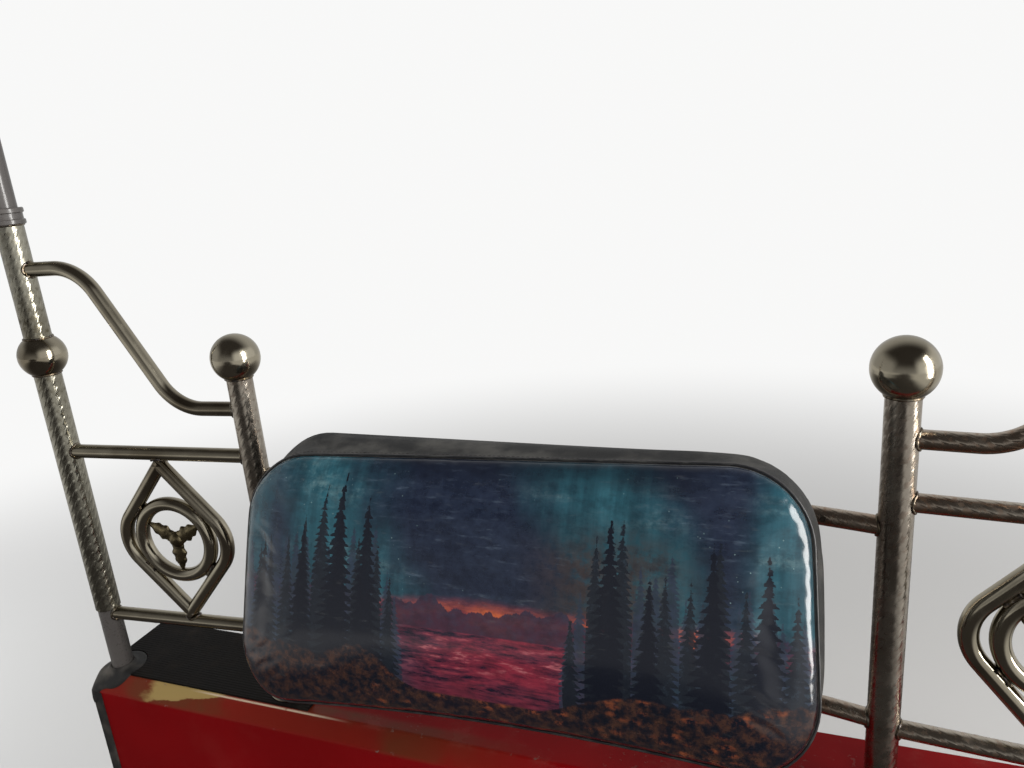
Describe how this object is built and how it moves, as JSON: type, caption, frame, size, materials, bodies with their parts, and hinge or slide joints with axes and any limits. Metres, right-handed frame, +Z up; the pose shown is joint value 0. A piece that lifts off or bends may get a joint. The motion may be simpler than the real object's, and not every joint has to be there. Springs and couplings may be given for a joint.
{
  "type": "auto rickshaw driver's partition with guard rail and backrest",
  "caption": "Painted steel bulkhead between an auto rickshaw's driver and passengers, with a bent-tube guard rail, ball finials, drop ornaments and a padded backrest.",
  "frame": {"origin": "centre of the four floor bolts, on the underside of the floor flanges", "axes": "+X across the vehicle, to the right for someone who faces the rear, +Y to the rear, +Z up"},
  "size_m": [1.1896, 0.258, 1.1],
  "materials": {
    "red_paint": "high gloss enamel",
    "dark_primer": "dull underside coat",
    "polished_steel": "polished stainless, lightly worn",
    "embossed_steel": "embossed stainless, worn and stained",
    "black_tube": "satin black",
    "black_rubber": "matt",
    "plywood": "raw board with a dark lining",
    "printed_vinyl": "glossy printed vinyl over foam"
  },
  "bodies": {
    "root": {"backrest_board": "plywood", "backrest_bracket_left": "black_tube", "backrest_bracket_right": "black_tube", "backrest_cushion": "printed_vinyl", "centre_rail_lower": "embossed_steel", "centre_rail_upper": "embossed_steel", "drop_frame_left": "polished_steel", "drop_frame_right": "polished_steel", "end_cheek_left": "red_paint", "end_cheek_right": "red_paint", "front_panel": "red_paint", "inner_post_left": "embossed_steel", "inner_post_right": "embossed_steel", "inner_web_left": "dark_primer", "inner_web_right": "dark_primer", "lower_rail_left": "embossed_steel", "lower_rail_right": "embossed_steel", "mid_rail_left": "embossed_steel", "mid_rail_right": "embossed_steel", "ornament_ring_left": "polished_steel", "ornament_ring_right": "polished_steel", "pillar_ball_left": "polished_steel", "pillar_ball_right": "polished_steel", "pillar_boot_left": "black_rubber", "pillar_boot_right": "black_rubber", "pillar_collar_left": "black_tube", "pillar_collar_right": "black_tube", "pillar_left": "black_tube", "pillar_right": "black_tube", "pillar_sleeve_left": "embossed_steel", "pillar_sleeve_right": "embossed_steel", "post_ball_left": "polished_steel", "post_ball_right": "polished_steel", "post_foot_left": "polished_steel", "post_foot_right": "polished_steel", "rear_panel": "red_paint", "ring_rosette_left": "polished_steel", "ring_rosette_right": "polished_steel", "shelf_mat": "black_rubber", "swan_rail_left": "polished_steel", "swan_rail_right": "polished_steel"}
  },
  "joints": []
}
